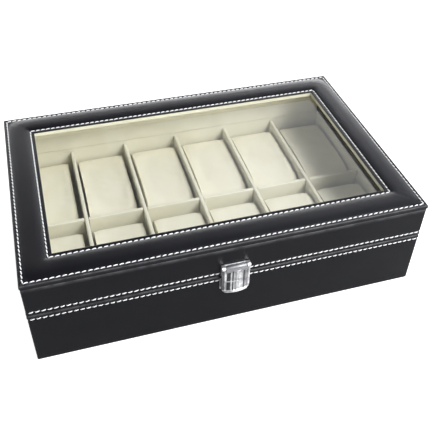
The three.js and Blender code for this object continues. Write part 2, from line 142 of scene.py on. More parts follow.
def make_floor():
    """One flat square sheet at the height of the box's underside."""
    half = FLOOR_SIZE / 2
    corners = [(-half, -half, 0), (half, -half, 0), (half, half, 0), (-half, half, 0)]
    mesh = bpy.data.meshes.new("floor")
    mesh.from_pydata(corners, [], [(0, 1, 2, 3)])
    floor = bpy.data.objects.new("floor", mesh)
    scene.collection.objects.link(floor)
    material = bpy.data.materials.new("pale_floor")
    material.use_nodes = True
    tree = material.node_tree
    surface = tree.nodes["Principled BSDF"]
    surface.inputs["Base Color"].default_value = (0.50, 0.50, 0.50, 1.0)
    surface.inputs["Roughness"].default_value = 0.9
    surface.inputs["Specular IOR Level"].default_value = 0.1
    glow = add_node(tree, "ShaderNodeEmission", {"Strength": FLOOR_GLOW}).outputs[0]
    lit = add_node(tree, "ShaderNodeAddShader", {0: surface.outputs[0], 1: glow}).outputs[0]
    seen = add_node(tree, "ShaderNodeLightPath").outputs["Is Camera Ray"]
    whole = add_node(tree, "ShaderNodeMixShader", {0: seen, 1: surface.outputs[0], 2: lit}).outputs[0]
    tree.links.new(whole, tree.nodes["Material Output"].inputs["Surface"])
    mesh.materials.append(material)
    return floor


def light_room():
    """The room's brightness follows the height and the side of the direction looked in."""
    world = bpy.data.worlds.new("room")
    world.use_nodes = True
    scene.world = world
    tree = world.node_tree
    direction = add_node(tree, "ShaderNodeTexCoord").outputs["Generated"]
    height = add_node(tree, "ShaderNodeSeparateXYZ", {"Vector": direction}).outputs["Z"]
    ramp = add_node(tree, "ShaderNodeValToRGB", {"Fac": height})
    ramp.color_ramp.elements[0].position = 0.15
    ramp.color_ramp.elements[0].color = ROOM_HORIZON
    ramp.color_ramp.elements[1].position = 0.55
    ramp.color_ramp.elements[1].color = ROOM_OVERHEAD
    side = add_node(tree, "ShaderNodeSeparateXYZ", {"Vector": direction}).outputs["X"]
    wanted = {"Value": side, "From Min": SIDE_FROM, "From Max": SIDE_TO, "To Min": 1.0, "To Max": SIDE_GAIN}
    gain = add_node(tree, "ShaderNodeMapRange", wanted, interpolation_type="SMOOTHSTEP").outputs["Result"]
    rays = add_node(tree, "ShaderNodeVectorMath", {0: ramp.outputs["Color"]}, operation="SCALE")
    tree.links.new(gain, rays.inputs["Scale"])
    background = tree.nodes["Background"]
    tree.links.new(rays.outputs[0], background.inputs["Color"])
    background.inputs["Strength"].default_value = ROOM_STRENGTH


def hang_lamps():
    """Rectangular lamps that point at the middle of the box."""
    for name, (place, width, height, watts) in LAMPS.items():
        lamp = bpy.data.lights.new(name, "AREA")
        lamp.shape = "RECTANGLE"
        lamp.size, lamp.size_y, lamp.energy = width, height, watts
        hung = bpy.data.objects.new(name, lamp)
        hung.location = place
        hung.rotation_euler = (place - AIM).to_track_quat("Z", "Y").to_euler()
        scene.collection.objects.link(hung)
        print(name, watts, "W")


make_floor()
light_room()
hang_lamps()

# %% [markdown]
# ## Shared effects for the materials
#
# Leather grain, suede nap, paler edges (rubbed wear and painted highlight) and uneven gloss are each
# needed by more than one material.
# Each is a node group: a small machine with named inputs and outputs that is built once and placed
# where it is wanted. The groups give colours, masks and heights only. The shader itself stays in
# each material, where its plain numbers can be read directly.

# %% Node groups
KINDS = {"vector": "NodeSocketVector", "value": "NodeSocketFloat", "colour": "NodeSocketColor"}


def new_group(name, inputs, outputs):
    """An empty group with the named sockets. Returns the group and its two end nodes."""
    group = bpy.data.node_groups.new(name, "ShaderNodeTree")
    for socket, kind in inputs.items():
        group.interface.new_socket(socket, in_out="INPUT", socket_type=KINDS[kind])
    for socket, kind in outputs.items():
        group.interface.new_socket(socket, in_out="OUTPUT", socket_type=KINDS[kind])
    return group, group.nodes.new("NodeGroupInput"), group.nodes.new("NodeGroupOutput")


def mix_colours(tree, share, first, second):
    """The first colour at share 0, the second at share 1."""
    node = tree.nodes.new("ShaderNodeMix")
    node.data_type = "RGBA"
    for index, value in ((0, share), (6, first), (7, second)):
        if isinstance(value, bpy.types.NodeSocket):
            tree.links.new(value, node.inputs[index])
        else:
            node.inputs[index].default_value = value
    return node.outputs[2]


def calculate(tree, operation, first, second=0.0):
    """One sum on two values."""
    return add_node(tree, "ShaderNodeMath", {0: first, 1: second}, operation=operation).outputs[0]


def rescale(tree, value, low, high, to_low, to_high):
    """The value's range low to high becomes to_low to to_high, and stops there."""
    wanted = {"Value": value, "From Min": low, "From Max": high, "To Min": to_low, "To Max": to_high}
    return add_node(tree, "ShaderNodeMapRange", wanted).outputs["Result"]


def make_grain_group():
    """Leather grain: small smooth cells between fine creases, with slow dents underneath."""
    group, start, end = new_group(
        "leather_grain",
        {"Place": "vector", "Cells": "value", "Dents": "value"},
        {"Height": "value"},
    )
    place = start.outputs["Place"]
    warp = add_node(group, "ShaderNodeTexNoise", {"Vector": place, "Scale": 900.0, "Detail": 2.0})
    push = add_node(
        group,
        "ShaderNodeVectorMath",
        {0: warp.outputs["Color"], 1: (0.0006, 0.0006, 0.0006)},
        operation="MULTIPLY",
    ).outputs[0]
    bent = add_node(group, "ShaderNodeVectorMath", {0: place, 1: push}, operation="ADD").outputs[0]
    cells = add_node(
        group,
        "ShaderNodeTexVoronoi",
        {"Vector": bent, "Scale": start.outputs["Cells"]},
        feature="DISTANCE_TO_EDGE",
    ).outputs["Distance"]
    crease = rescale(group, cells, 0.0, 0.22, 1.0, 0.0)
    dents = add_node(
        group, "ShaderNodeTexNoise", {"Vector": place, "Scale": 55.0, "Detail": 3.0}
    ).outputs["Fac"]
    deep = calculate(group, "MULTIPLY", dents, start.outputs["Dents"])
    height = calculate(group, "SUBTRACT", deep, crease)
    group.links.new(height, end.inputs["Height"])
    return group


def make_nap_group():
    """Suede nap: short fibres that lie in slow drifts, so the colour shades from patch to patch."""
    group, start, end = new_group(
        "suede_nap",
        {"Place": "vector", "Light": "colour", "Shade": "colour"},
        {"Colour": "colour", "Height": "value"},
    )
    place = start.outputs["Place"]
    drift = add_node(
        group, "ShaderNodeTexNoise", {"Vector": place, "Scale": 38.0, "Detail": 3.0, "Distortion": 0.8}
    ).outputs["Fac"]
    fibre = add_node(
        group, "ShaderNodeTexNoise", {"Vector": place, "Scale": 2600.0, "Detail": 2.0}
    ).outputs["Fac"]
    patches = rescale(group, drift, 0.32, 0.68, 0.0, 1.0)
    speckle = rescale(group, fibre, 0.3, 0.7, -0.22, 0.22)
    share = add_node(
        group, "ShaderNodeMath", {0: patches, 1: speckle}, operation="ADD", use_clamp=True
    ).outputs[0]
    colour = mix_colours(group, share, start.outputs["Light"], start.outputs["Shade"])
    group.links.new(colour, end.inputs["Colour"])
    group.links.new(fibre, end.inputs["Height"])
    return group


def make_wear_and_painted_light_group():
    """Paler colour where the attribute called edge marks it, broken up by noise. On the leather this is
    rubbed wear and painted highlight at rims and corners; on the latch flap it is painted reflection and
    shade.
    """
    group, start, end = new_group(
        "edge_wear_and_painted_light",
        {"Place": "vector", "Colour": "colour", "Rubbed_and_painted_light": "colour", "Amount": "value"},
        {"Colour": "colour"},
    )
    edge = add_node(group, "ShaderNodeAttribute", attribute_name="edge").outputs["Fac"]
    patches = add_node(
        group,
        "ShaderNodeTexNoise",
        {"Vector": start.outputs["Place"], "Scale": 160.0, "Detail": 4.0},
    ).outputs["Fac"]
    broken = calculate(group, "MULTIPLY", edge, rescale(group, patches, 0.35, 0.65, 0.35, 1.0))
    mask = calculate(group, "MULTIPLY", broken, start.outputs["Amount"])
    colour = mix_colours(group, mask, start.outputs["Colour"], start.outputs["Rubbed_and_painted_light"])
    group.links.new(colour, end.inputs["Colour"])
    return group


def make_gloss_group():
    """Uneven gloss: handled surfaces are smoother in some patches than in others."""
    group, start, end = new_group(
        "uneven_gloss",
        {"Place": "vector", "Patches": "value", "Smooth": "value", "Rough": "value"},
        {"Roughness": "value"},
    )
    patches = add_node(
        group,
        "ShaderNodeTexNoise",
        {"Vector": start.outputs["Place"], "Scale": start.outputs["Patches"], "Detail": 4.0},
    ).outputs["Fac"]
    rough = rescale(group, patches, 0.3, 0.7, start.outputs["Smooth"], start.outputs["Rough"])
    group.links.new(rough, end.inputs["Roughness"])
    return group


grain_group = make_grain_group()
nap_group = make_nap_group()
wear_and_painted_light_group = make_wear_and_painted_light_group()
gloss_group = make_gloss_group()
print("node groups:", ", ".join(sorted(g.name for g in bpy.data.node_groups)))

# %% [markdown]
# ## Materials
#
# The black covering is a coated cloth, not hide: nearly black, smooth to the touch, with a fine
# pressed grain and a soft gleam. The lining and the pillows are cream suede cloth, whose fibres
# catch light at a low angle, which the shader calls sheen. Chrome is a mirror with faint smudges.
# The glass is a thin flat pane: nothing bends through it, so a see-through shader mixed with a
# mirror by viewing angle is truer, and lets the lamp into the box.

# %% Material helpers
def start_material(name):
    """A material with its tree, its Principled shader and the place of each point on its piece."""
    material = bpy.data.materials.new(name)
    material.use_nodes = True
    tree = material.node_tree
    place = add_node(tree, "ShaderNodeTexCoord").outputs["Object"]
    return material, tree, tree.nodes["Principled BSDF"], place


def use_group(tree, group, inputs):
    """Places a node group in a material with its own values."""
    node = tree.nodes.new("ShaderNodeGroup")
    node.node_tree = group
    for socket, value in inputs.items():
        if isinstance(value, bpy.types.NodeSocket):
            tree.links.new(value, node.inputs[socket])
        else:
            node.inputs[socket].default_value = value
    return node


def set_shader(shader, **numbers):
    """Plain numbers straight on the shader's own sockets."""
    for name, value in numbers.items():
        shader.inputs[name.replace("_", " ")].default_value = value


def raise_surface(tree, shader, height, depth, strength):
    """Turns a height into small bumps of that real depth, in metres."""
    bump = add_node(tree, "ShaderNodeBump", {"Height": height, "Distance": depth, "Strength": strength})
    tree.links.new(bump.outputs["Normal"], shader.inputs["Normal"])


# %% Leather
def make_leather(name, dark, light, smooth, rough):
    """Two near-blacks in slow patches, pressed grain, and paler edges that are rubbed wear plus a painted
    highlight along the rims.
    """
    material, tree, shader, place = start_material(name)
    grain = use_group(tree, grain_group, {"Place": place, "Cells": 1150.0, "Dents": 1.6})
    patches = add_node(
        tree, "ShaderNodeTexNoise", {"Vector": place, "Scale": 24.0, "Detail": 4.0}
    ).outputs["Fac"]
    body = mix_colours(tree, rescale(tree, patches, 0.35, 0.65, 0.0, 1.0), dark, light)
    # The paler colour at marked edges is partly rubbed wear and partly painted highlight on the rounded rims.
    worn_and_painted_light = use_group(
        tree,
        wear_and_painted_light_group,
        {"Place": place, "Colour": body, "Rubbed_and_painted_light": (0.15, 0.15, 0.155, 1.0), "Amount": 0.6},
    )
    gloss = use_group(
        tree, gloss_group, {"Place": place, "Patches": 30.0, "Smooth": smooth, "Rough": rough}
    )
    tree.links.new(worn_and_painted_light.outputs["Colour"], shader.inputs["Base Color"])
    tree.links.new(gloss.outputs["Roughness"], shader.inputs["Roughness"])
    raise_surface(tree, shader, grain.outputs["Height"], 0.00005, 0.55)
    set_shader(shader, Specular_IOR_Level=0.20)
    return material


leather = make_leather("black_leather", (0.0032, 0.0032, 0.0048, 1), (0.0048, 0.0048, 0.0064, 1), 0.30, 0.40)
print("made", leather.name)


# %% Suede
def make_suede(name, light, shade, sheen, depth):
    """Cream nap with drifts of shade; sheen is the soft light on the tips of the fibres."""
    material, tree, shader, place = start_material(name)
    nap = use_group(tree, nap_group, {"Place": place, "Light": light, "Shade": shade})
    tree.links.new(nap.outputs["Colour"], shader.inputs["Base Color"])
    gloss = use_group(tree, gloss_group, {"Place": place, "Patches": 60.0, "Smooth": 0.86, "Rough": 0.98})
    tree.links.new(gloss.outputs["Roughness"], shader.inputs["Roughness"])
    raise_surface(tree, shader, nap.outputs["Height"], depth, 0.6)
    set_shader(shader, Sheen_Weight=sheen, Sheen_Roughness=0.45, Specular_IOR_Level=0.15)
    return material


lining_suede = make_suede("lining_suede", (0.82, 0.80, 0.675, 1), (0.76, 0.735, 0.60, 1), 0.10, 0.00006)
pillow_suede = make_suede("pillow_suede", (0.86, 0.83, 0.69, 1), (0.82, 0.78, 0.63, 1), 0.12, 0.00008)
# The reveal is the same cream cloth as the lining; this darker, more olive copy is painted shade along the
# window's edges.
reveal_suede_painted_shade = make_suede("reveal_suede_painted_shade", (0.63, 0.62, 0.48, 1), (0.57, 0.55, 0.42, 1), 0.06, 0.00006)
print("made", lining_suede.name, pillow_suede.name, "and", reveal_suede_painted_shade.name)


# %% Chrome
def make_chrome(name, dull, bright, smooth, rough):
    """Bright plating with faint smudges."""
    material, tree, shader, place = start_material(name)
    gloss = use_group(tree, gloss_group, {"Place": place, "Patches": 220.0, "Smooth": smooth, "Rough": rough})
    tree.links.new(gloss.outputs["Roughness"], shader.inputs["Roughness"])
    smudges = {"Vector": place, "Scale": 300.0, "Detail": 2.0}
    tone = add_node(tree, "ShaderNodeTexNoise", smudges).outputs["Fac"]
    colour = mix_colours(tree, tone, dull, bright)
    tree.links.new(colour, shader.inputs["Base Color"])
    set_shader(shader, Metallic=1.0)
    return material


chrome = make_chrome("chrome", (0.62, 0.62, 0.64, 1), (0.78, 0.78, 0.79, 1), 0.10, 0.22)
satin_chrome = make_chrome("satin_chrome", (0.22, 0.22, 0.225, 1), (0.46, 0.46, 0.47, 1), 0.52, 0.66)
bright_chrome = make_chrome("bright_chrome", (0.80, 0.80, 0.81, 1), (0.95, 0.95, 0.95, 1), 0.30, 0.40)
print("made", chrome.name, satin_chrome.name, "and", bright_chrome.name)


# %% Board, felt and thread
def make_board():
    """Pale brown fibreboard with flecks."""
    material, tree, shader, place = start_material("fibreboard")
    specks = {"Vector": place, "Scale": 700.0, "Detail": 6.0}
    flecks = add_node(tree, "ShaderNodeTexNoise", specks).outputs["Fac"]
    colour = mix_colours(tree, flecks, (0.36, 0.24, 0.14, 1), (0.22, 0.14, 0.08, 1))
    tree.links.new(colour, shader.inputs["Base Color"])
    raise_surface(tree, shader, flecks, 0.0001, 0.4)
    set_shader(shader, Roughness=0.9)
    return material


def make_felt():
    """Black felt: tangled fibres, no gloss."""
    material, tree, shader, place = start_material("black_felt")
    nap = use_group(
        tree, nap_group, {"Place": place, "Light": (0.012, 0.012, 0.012, 1), "Shade": (0.03, 0.03, 0.032, 1)}
    )
    tree.links.new(nap.outputs["Colour"], shader.inputs["Base Color"])
    raise_surface(tree, shader, nap.outputs["Height"], 0.0002, 0.8)
    set_shader(shader, Roughness=1.0, Sheen_Weight=0.2)
    return material


def make_thread():
    """White thread: each stitch's own map runs along it, and slanted bands are its twisted plies."""
    material, tree, shader, place = start_material("white_thread")
    along = add_node(tree, "ShaderNodeUVMap", uv_map="stitch").outputs["UV"]
    plies = add_node(
        tree,
        "ShaderNodeTexWave",
        {"Vector": along, "Scale": 1.6, "Distortion": 0.4},
        bands_direction="DIAGONAL",
    ).outputs["Fac"]
    colour = mix_colours(tree, plies, (0.90, 0.90, 0.885, 1), (0.98, 0.98, 0.97, 1))
    tree.links.new(colour, shader.inputs["Base Color"])
    raise_surface(tree, shader, plies, 0.0001, 0.5)
    set_shader(shader, Roughness=0.55, Sheen_Weight=0.2)
    return material


board = make_board()
felt = make_felt()
thread = make_thread()
print("made", board.name, felt.name, thread.name)


# %% [markdown]
# ### The pane
#
# Light goes straight through the flat pane, with the faint green of window glass. The mirror belongs
# to the face that light meets first, and it has the strength of both faces together.

# %% Glass
BOTH_FACES = 1.9  # the two faces of a pane reflect nearly twice as much as one


def make_glass():
    """See-through, plus a mirror on the near face that grows with the viewing angle."""
    material, tree, shader, place = start_material("clear_pane")
    tree.nodes.remove(shader)
    clear = add_node(tree, "ShaderNodeBsdfTransparent", {"Color": (0.985, 0.987, 0.978, 1)}).outputs[0]
    mirror = add_node(tree, "ShaderNodeBsdfGlossy", {"Roughness": 0.02}).outputs[0]
    angle = add_node(tree, "ShaderNodeFresnel", {"IOR": 1.5}).outputs[0]
    behind = add_node(tree, "ShaderNodeNewGeometry").outputs["Backfacing"]
    near_face = calculate(tree, "SUBTRACT", 1.0, behind)
    share = calculate(tree, "MULTIPLY", calculate(tree, "MULTIPLY", angle, BOTH_FACES), near_face)
    whole = add_node(tree, "ShaderNodeMixShader", {0: share, 1: clear, 2: mirror}).outputs[0]
    tree.links.new(whole, tree.nodes["Material Output"].inputs["Surface"])
    return material


glass = make_glass()
print("made", glass.name)

# %% [markdown]
# ## Surfaces from grids of points
#
# Every new piece is a surface worked out as a whole grid of points. Most of the leather goes round
# the box like a picture moulding: one outline, seen in section, is carried round a rectangle with
# rounded corners. Each station on that path is four numbers. The first two say which corner or
# side it belongs to, from -1 to 1, and the other two are the outward direction there. That makes
# any inset from the outer face a simple sum.

# %% Grid helpers
def put_mesh(name, points, faces):
    """A new object from an array of points and a list of faces, with its faces turned outwards."""
    mesh = bpy.data.meshes.new(name)
    mesh.from_pydata(points.reshape(-1, 3).tolist(), [], faces)
    turn_outwards(mesh)
    mesh.polygons.foreach_set("use_smooth", np.full(len(mesh.polygons), True))
    piece = bpy.data.objects.new(name, mesh)
    scene.collection.objects.link(piece)
    return piece


def turn_outwards(mesh):
    """Turns every face so that it looks away from the inside of its closed shell."""
    work = bmesh.new()
    work.from_mesh(mesh)
    bmesh.ops.recalc_face_normals(work, faces=work.faces)
    work.to_mesh(mesh)
    work.free()


def grid_faces(rows, columns, wrap_rows=False, wrap_columns=False):
    """Four-sided faces between neighbouring rows and columns; a wrapped way joins last to first."""
    row, column = np.meshgrid(
        np.arange(rows if wrap_rows else rows - 1),
        np.arange(columns if wrap_columns else columns - 1),
        indexing="ij",
    )
    below, right = (row + 1) % rows, (column + 1) % columns
    corners = (
        row * columns + column,
        row * columns + right,
        below * columns + right,
        below * columns + column,
    )
    return np.stack(corners, -1).reshape(-1, 4).tolist()


def ring_path(length_x, length_y, step, corner_steps=6):
    """Stations round a rounded rectangle, from the right side and on through back, left and front.
    A station is (a, b, nx, ny): its point is (a * (half_x - r) + r * nx, b * (half_y - r) + r * ny)."""
    stations = []
    for turn in range(4):
        angle = turn * np.pi / 2
        c, s = round(np.cos(angle)), round(np.sin(angle))
        count = 2 * round((length_y if turn % 2 == 0 else length_x) / step / 2)
        t = np.linspace(-1, 1, count + 1)
        side = np.stack([c - s * t, s + c * t, np.full_like(t, c), np.full_like(t, s)], -1)
        bend = angle + np.linspace(0, np.pi / 2, corner_steps + 1)[1:-1]
        corner = np.stack([
            np.full_like(bend, c - s), np.full_like(bend, s + c), np.cos(bend), np.sin(bend)
        ], -1)
        stations += [side, corner]
    return np.concatenate(stations)


def carry_round(outline, half_x, half_y, radius, stations, least_radius=0.35 * MM):
    """The outline's points (inset in X, inset in Y, height) at every station: rows are outline points."""
    inset_x, inset_y, z = np.asarray(outline, float).T
    r = np.maximum(radius - np.minimum(inset_x, inset_y), least_radius)[:, None]
    a, b, nx, ny = stations.T
    x = a * (half_x - inset_x[:, None] - r) + r * nx
    y = b * (half_y - inset_y[:, None] - r) + r * ny
    return np.stack([x, y, np.broadcast_to(z[:, None], x.shape)], -1)


def round_corners(points, radii, steps=5):
    """A closed outline whose sharp corners become arcs: each corner's arc touches both its sides."""
    points = np.asarray(points, float)
    before, after = np.roll(points, 1, 0), np.roll(points, -1, 0)
    rounded = []
    for p, q, s, radius in zip(before, points, after, radii):
        if radius == 0:
            rounded.append(q[None])
            continue
        u, v = (p - q) / np.linalg.norm(p - q), (s - q) / np.linalg.norm(s - q)
        half = np.arccos(np.clip(u @ v, -1, 1)) / 2
        centre = q + (u + v) / np.linalg.norm(u + v) * radius / np.sin(half)
        start, end = q + u * radius / np.tan(half), q + v * radius / np.tan(half)
        share = np.linspace(0, 1, steps)[:, None]
        ray = (start - centre) * (1 - share) + (end - centre) * share
        rounded.append(centre + ray / np.linalg.norm(ray, axis=1, keepdims=True) * radius)
    return np.concatenate(rounded)


def divide(outline, step_at):
    """Adds points to a closed outline: first every few millimetres, then by step_at each new middle."""
    for rule in (lambda middle: 3 * MM, step_at):
        pieces = []
        for p, q in zip(outline, np.roll(outline, -1, 0)):
            count = max(1, int(np.ceil(np.linalg.norm(q - p) / rule((p + q) / 2))))
            pieces.append(p + (q - p) * np.linspace(0, 1, count, endpoint=False)[:, None])
        outline = np.concatenate(pieces)
    return outline


def bell(distance, width):
    """1 at distance 0, falling smoothly to nothing by about two widths."""
    return np.exp(-((distance / width) ** 2))


# %% [markdown]
# ## Stitch rows
#
# Two rows run round the walls, one each side of the joint, and two rows run round the top of the
# lid. A row is a whole number of stitches on each side of the box, so that it turns its corners
# neatly. The needle holes pull the leather down, so the leather dips a little between stitches.

# %% Places of the rows
body_low, body_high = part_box("base_leather_wrap")
panel_low, panel_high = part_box("lid_top_leather")
BODY_X, BODY_Y = body_high.x, body_high.y
PANEL_X, PANEL_Y = panel_high.x, panel_high.y
base_rim = body_high.z
lid_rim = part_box("lid_leather_wrap")[0].z
lid_wall_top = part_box("lid_leather_wrap")[1].z
glass_low, glass_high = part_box("glass_pane")
window_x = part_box("window_reveal_lining")[1].x - 0.5 * MM
window_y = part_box("window_reveal_lining")[1].y - 0.5 * MM
BORDER_X, BORDER_Y = PANEL_X - window_x, PANEL_Y - window_y

STITCH_PITCH = 4.2 * MM
STITCH_LENGTH = 3.9 * MM
THREAD_RADIUS = 0.41 * MM
BASE_ROW_FROM_RIM = 3.75 * MM
LID_ROW_FROM_RIM = 3.0 * MM
OUTER_ROW = 2.7 * MM  # in from the panel's edge
INNER_ROW = 20.9 * MM
BODY_RADIUS = 0.9 * MM
PANEL_RADIUS = 0.6 * MM
STATION_STEP = 1.4 * MM

wall_row_base = base_rim - BASE_ROW_FROM_RIM
wall_row_lid = lid_rim + LID_ROW_FROM_RIM
print("borders", round(BORDER_X, 4), round(BORDER_Y, 4))
print("wall rows at", round(wall_row_base, 4), round(wall_row_lid, 4))


def stitch_count(length):
    """An even number of stitches that fills the length at about the right pitch."""
    return 2 * round(length / STITCH_PITCH / 2)


def hole_dips(points, stations, length_x, length_y):
    """1 at each needle hole and 0 in the middle of each stitch, from a cosine along every side."""
    across = np.abs(stations[:, 3]) > np.abs(stations[:, 2])
    along = np.where(across, points[..., 0], points[..., 1])
    pitch = np.where(across, length_x / stitch_count(length_x), length_y / stitch_count(length_y))
    return 0.5 + 0.5 * np.cos(2 * np.pi * along / pitch)


# %% [markdown]
# ## Wall leather
#
# Base and lid are each wrapped in one piece of leather. It is glued flat on the walls, rolled over
# the rim round a thin cord of padding, and stitched just behind the roll. The base's leather turns
# down inside to the tray and a little way under the bottom. The two rims are slightly swollen, so
# the closed box shows no light between them. The outline is drawn once in section and carried
# round; the roll, the stitch channel and the dips are then pushed in or out of the wall.

# %% Wall leather
LEATHER = 0.6 * MM
ROLL_BULGE = 0.32 * MM
CHANNEL_DEPTH = 0.38 * MM
CHANNEL_WIDTH = 0.75 * MM
DIP_DEPTH = 0.22 * MM
WALL_LENGTH_X, WALL_LENGTH_Y = 2 * (BODY_X - 1.2 * MM), 2 * (BODY_Y - 1.2 * MM)


def wall_relief(z, row, rim):
    """How far the leather stands out of the wall: a channel at the stitches, a soft roll at the rim."""
    to_rim = (z - row) / (rim - row)
    roll = np.where((to_rim > 0) & (to_rim < 1), np.sin(np.pi * np.clip(to_rim, 0, 1)) ** 0.7, 0.0)
    return ROLL_BULGE * roll - CHANNEL_DEPTH * bell(z - row, CHANNEL_WIDTH)


def make_wall_leather(name, corners, radii, row, rim, shine, body, replaced):
    """The closed section (inset, height) is rounded, divided, carried round and given its relief."""
    def step_at(middle):
        near_seam = abs(middle[1] - row) < 4.2 * MM and middle[0] < 0.3 * MM
        return 0.35 * MM if near_seam else 9 * MM

    outline = divide(round_corners(corners, radii), step_at)
    section = np.stack([outline[:, 0], outline[:, 0], outline[:, 1]], -1)
    stations = ring_path(2 * BODY_X, 2 * BODY_Y, STATION_STEP)
    points = carry_round(section, BODY_X, BODY_Y, BODY_RADIUS, stations)
    outer = (outline[:, 0] < 0.45 * MM).astype(float)[:, None]
    z = points[..., 2]
    dips = DIP_DEPTH * hole_dips(points, stations, WALL_LENGTH_X, WALL_LENGTH_Y) * bell(z - row, 1.2 * MM)
    push = outer * (wall_relief(z, row, rim) - dips)
    points[..., 0] += push * stations[:, 2]
    points[..., 1] += push * stations[:, 3]
    piece = put_mesh(name, points, grid_faces(*points.shape[:2], wrap_rows=True, wrap_columns=True))
    # Paler leather along the rim roll and down the corners: rubbed wear, and along the rim also a painted
    # highlight line.
    at_rim = bell(z - shine, 0.8 * MM) * (outline[:, 0] < 1.3 * MM)[:, None]
    at_corner = 0.25 * outer * (np.abs(stations[:, 2] * stations[:, 3]) > 0.01)
    mark_wear_and_painted_light(piece, np.maximum(at_rim, at_corner))
    finish_piece(piece, leather, body, replaced)
    return piece


def mark_wear_and_painted_light(piece, amount):
    """Stores a share for each point that the material turns paler: rubbed wear and painted highlight on
    leather, painted reflection and shade on the latch flap.
    """
    layer = piece.data.attributes.new("edge", "FLOAT", "POINT")
    layer.data.foreach_set("value", np.clip(amount, 0, 1).astype(np.float32).ravel())


def finish_piece(piece, material, body, replaced=()):
    """Material, moving body, and the solid that this piece stands for, which is hidden."""
    piece.data.materials.append(material)
    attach(piece, body)
    if replaced:
        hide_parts(*replaced)
    print(piece.name, len(piece.data.polygons), "faces")


tray_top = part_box("tray_back_wall")[1].z
underside = body_low.z
TURN_IN = 3.6 * MM
UNDER_MARGIN = 10 * MM
RIM_SWELL = 0.18 * MM  # the two rims swell until they all but touch
BASE_SWELL_FROM, BASE_SWELL_TO = 2.1 * MM, 2.9 * MM  # in from the outer face
LID_SWELL_FROM, LID_SWELL_TO = 2.0 * MM, 2.6 * MM
SEAM_GAP = 0.3 * MM

base_section = [
    (0, underside), (UNDER_MARGIN, underside), (UNDER_MARGIN, underside + LEATHER),
    (LEATHER, underside + LEATHER), (LEATHER, base_rim - LEATHER), (TURN_IN, base_rim - LEATHER),
    (TURN_IN, tray_top + SEAM_GAP), (TURN_IN + LEATHER, tray_top + SEAM_GAP),
    (TURN_IN + LEATHER, base_rim), (BASE_SWELL_TO, base_rim + RIM_SWELL),
    (BASE_SWELL_FROM, base_rim + RIM_SWELL), (0, base_rim),
]
base_radii = np.array([0.9, 0.25, 0.25, 0.2, 0.3, 0.2, 0.2, 0.2, 0.7, 0.2, 0.2, 1.5]) * MM
make_wall_leather(
    "base_leather", base_section, base_radii, wall_row_base, base_rim, base_rim,
    "base", ["base_leather_wrap"],
)

lid_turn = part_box("lid_leather_wrap")[1].x - 146.3 * MM
lid_section = [
    (0, lid_rim), (LID_SWELL_FROM, lid_rim - RIM_SWELL), (LID_SWELL_TO, lid_rim - RIM_SWELL),
    (lid_turn, lid_rim),
    (lid_turn, lid_rim + LEATHER), (LEATHER, lid_rim + LEATHER), (LEATHER, lid_wall_top), (0, lid_wall_top),
]
lid_radii = np.array([1.3, 0.2, 0.2, 0.15, 0.25, 0.25, 0.05, 0.54]) * MM
make_wall_leather(
    "lid_wall_leather", lid_section, lid_radii, wall_row_lid, lid_rim, lid_wall_top,
    "lid", ["lid_leather_wrap"],
)

# %% [markdown]
# ## Padded border of the lid
#
# The top is a flat frame with a strip of foam under the leather. The two stitch rows hold the
# leather down, so it rises between them like a shallow cushion. At each corner the leather is
# folded on the diagonal, which leaves a very soft crease. Under the panel's edge the leather turns
# in and rests on the lid's walls, which leaves a thin dark gap all round.

# %% Padded border
PANEL_TOP = 80 * MM
PANEL_UNDER = panel_low.z + 0.5 * MM
EDGE_GAP = 0.55 * MM
TURN_UNDER = 3.4 * MM
CROWN = panel_high.z - PANEL_TOP
BOARD_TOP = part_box("lid_top_frame")[1].z
EDGE_BULGE = 0.16 * MM
CORNER_EASE = 5.0 * MM


def edge_height(t):
    """The part that follows the path: a low roll at the very edge, and a channel at each row."""
    rim = EDGE_BULGE * bell(t - 1.2 * MM, 0.9 * MM)
    channels = bell(t - OUTER_ROW, 0.62 * MM) + bell(t - INNER_ROW, 0.62 * MM)
    return rim - CHANNEL_DEPTH * channels


def crown_height(in_x, in_y):
    """The cushion: its share of the way from the outer row to the inner one, rounded at corners.
    The outer distance is a smooth minimum, and the inner one is the straight distance."""
    outer = -CORNER_EASE * np.log(np.exp(-in_x / CORNER_EASE) + np.exp(-in_y / CORNER_EASE)) - OUTER_ROW
    outer = np.maximum(outer, 0)
    inner = np.hypot(np.maximum(INNER_ROW - in_x, 0), np.maximum(INNER_ROW - in_y, 0))
    share = outer / (outer + inner + 1e-6)
    return CROWN * (1 - np.abs(2 * share - 1) ** 2.6)


def corner_folds(in_x, in_y, t):
    """A soft fold on the corner's diagonal, and gathers that fade out to either side."""
    off = (in_x - in_y) / np.sqrt(2)
    between = bell((t - 12 * MM) / (9 * MM), 1.0)
    groove = 0.03 * MM * bell(off, 2.4 * MM)
    gathers = 0.02 * MM * np.cos(2 * np.pi * off / (5.2 * MM)) * bell(off, 7 * MM)
    return -(groove + gathers) * between


